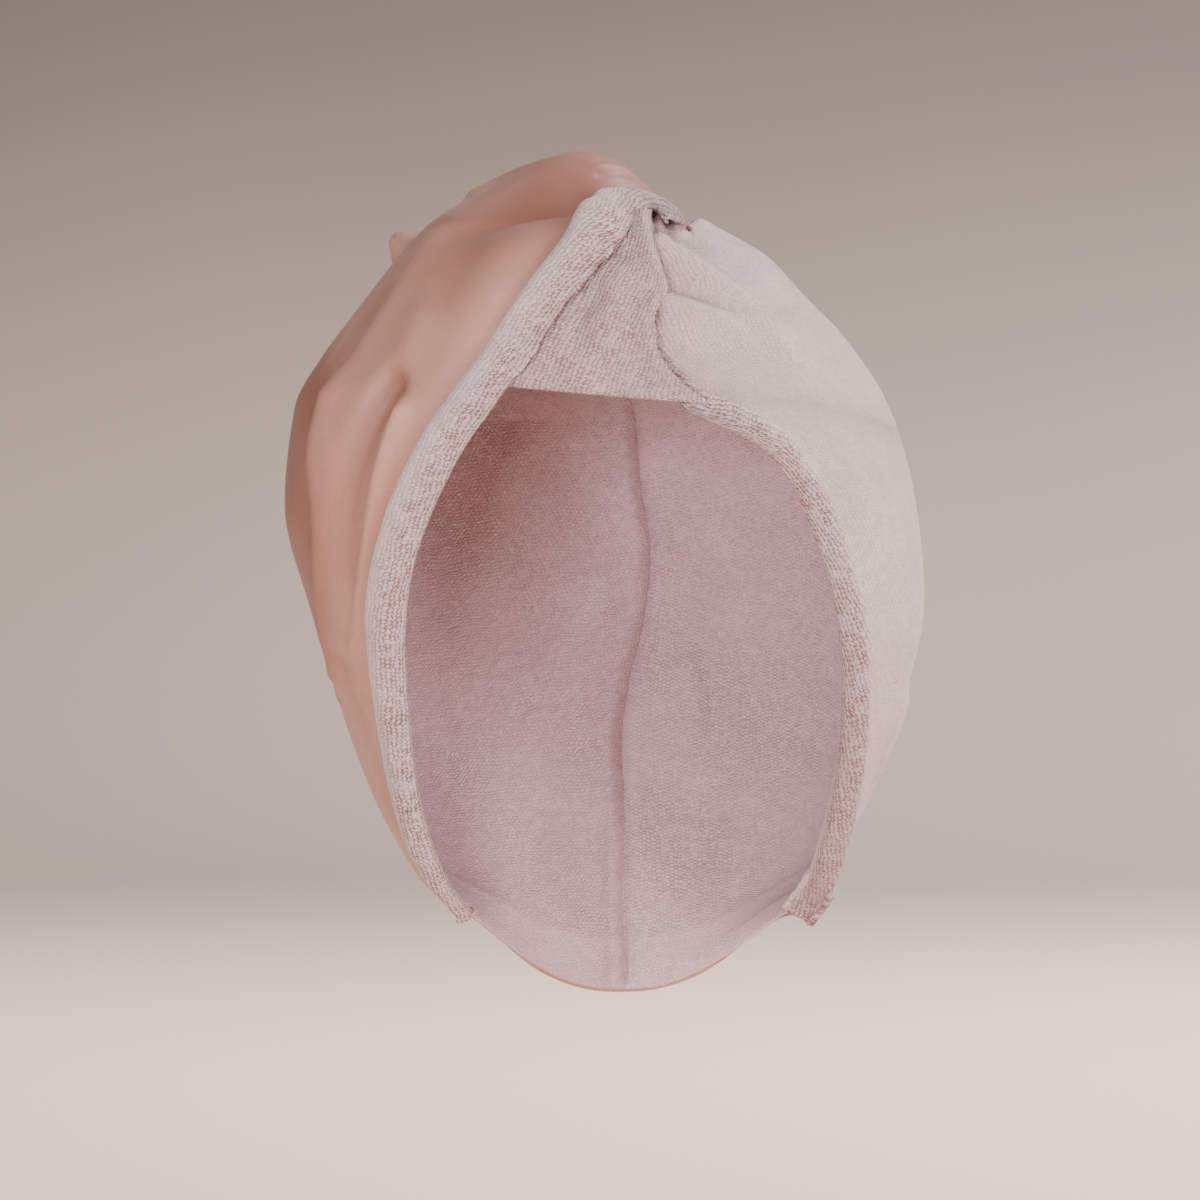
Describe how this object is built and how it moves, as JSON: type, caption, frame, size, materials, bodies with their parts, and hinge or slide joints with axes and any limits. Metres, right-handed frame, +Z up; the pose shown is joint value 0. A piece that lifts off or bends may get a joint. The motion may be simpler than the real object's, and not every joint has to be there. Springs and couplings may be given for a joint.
{
  "type": "hair turban towel",
  "caption": "Hair turban towel in its worn form: satin outside, terry inside, edges crossed in a knot over the forehead, twisted tail buttoned at the nape.",
  "frame": {"origin": "inside top of the hood, where the crown of the head carries it", "axes": "+Z up, -Y out of the face opening, +X to the right of someone who faces it; millimetres in the source"},
  "size_m": [0.2336, 0.2318, 0.3084],
  "materials": {
    "satin": "soft satin weave",
    "rose_terry": "looped terry",
    "pale_terry": "looped terry",
    "trim": "matt woven",
    "button": "satin"
  },
  "bodies": {
    "root": {"terry_lining_left": "rose_terry", "terry_lining_right": "rose_terry", "satin_left_panel": "satin", "satin_right_panel": "satin", "left_turned_edge": "pale_terry", "right_turned_panel": "pale_terry", "forehead_wrap": "pale_terry", "tail_satin_strand": "satin", "tail_terry_strand": "pale_terry", "tail_loop": "trim", "nape_button": "button"}
  },
  "joints": []
}
